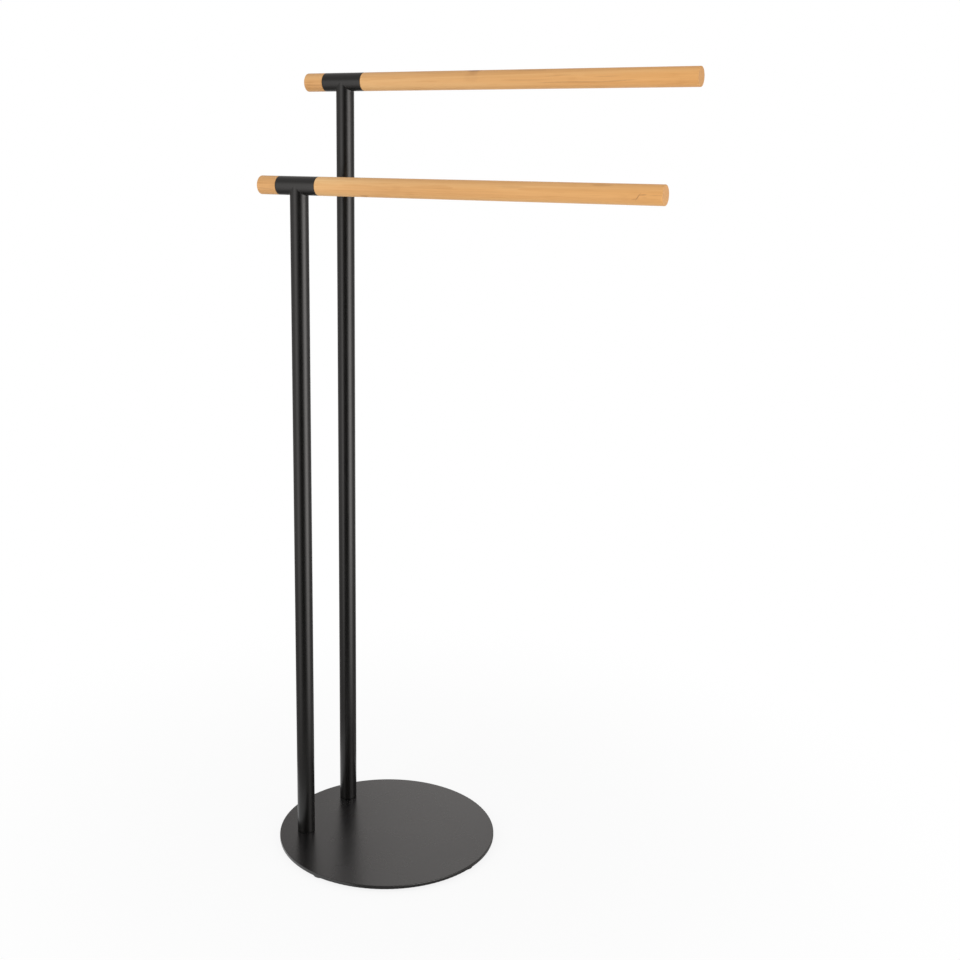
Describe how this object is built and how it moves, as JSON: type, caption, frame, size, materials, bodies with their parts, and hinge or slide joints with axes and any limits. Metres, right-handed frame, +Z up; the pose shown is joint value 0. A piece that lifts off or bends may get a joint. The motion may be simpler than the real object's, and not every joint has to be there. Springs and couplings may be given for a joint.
{
  "type": "freestanding towel stand",
  "caption": "Freestanding towel stand: round steel base plate, posts of different heights, each with a sleeve that holds a long and a short piece of bamboo rod as one horizontal arm.",
  "frame": {"origin": "On the floor, under the centre of the round base plate.", "axes": "+Z is up; +X runs along the arms to their free ends; -Y is the front, where the lower arm is."},
  "size_m": [0.453, 0.25, 0.873],
  "materials": {
    "black_powder_coat": "fine satin powder coat, black",
    "bamboo": "laminated bamboo, fine sanded, clear matt varnish",
    "foot_rubber": "matt black",
    "zinc_plated_steel": "bright zinc plating",
    "insert_brass": "turned brass"
  },
  "bodies": {
    "root": {"base_plate": "black_powder_coat", "right_foot": "foot_rubber", "rear_foot": "foot_rubber", "left_foot": "foot_rubber", "front_foot": "foot_rubber", "front_post": "black_powder_coat", "front_post_plug": "zinc_plated_steel", "front_base_screw": "zinc_plated_steel", "front_sleeve": "black_powder_coat", "front_bamboo_arm": "bamboo", "front_bamboo_end": "bamboo", "front_arm_insert": "insert_brass", "front_end_insert": "insert_brass", "front_joining_stud": "zinc_plated_steel", "rear_post": "black_powder_coat", "rear_post_plug": "zinc_plated_steel", "rear_base_screw": "zinc_plated_steel", "rear_sleeve": "black_powder_coat", "rear_bamboo_arm": "bamboo", "rear_bamboo_end": "bamboo", "rear_arm_insert": "insert_brass", "rear_end_insert": "insert_brass", "rear_joining_stud": "zinc_plated_steel"}
  },
  "joints": []
}
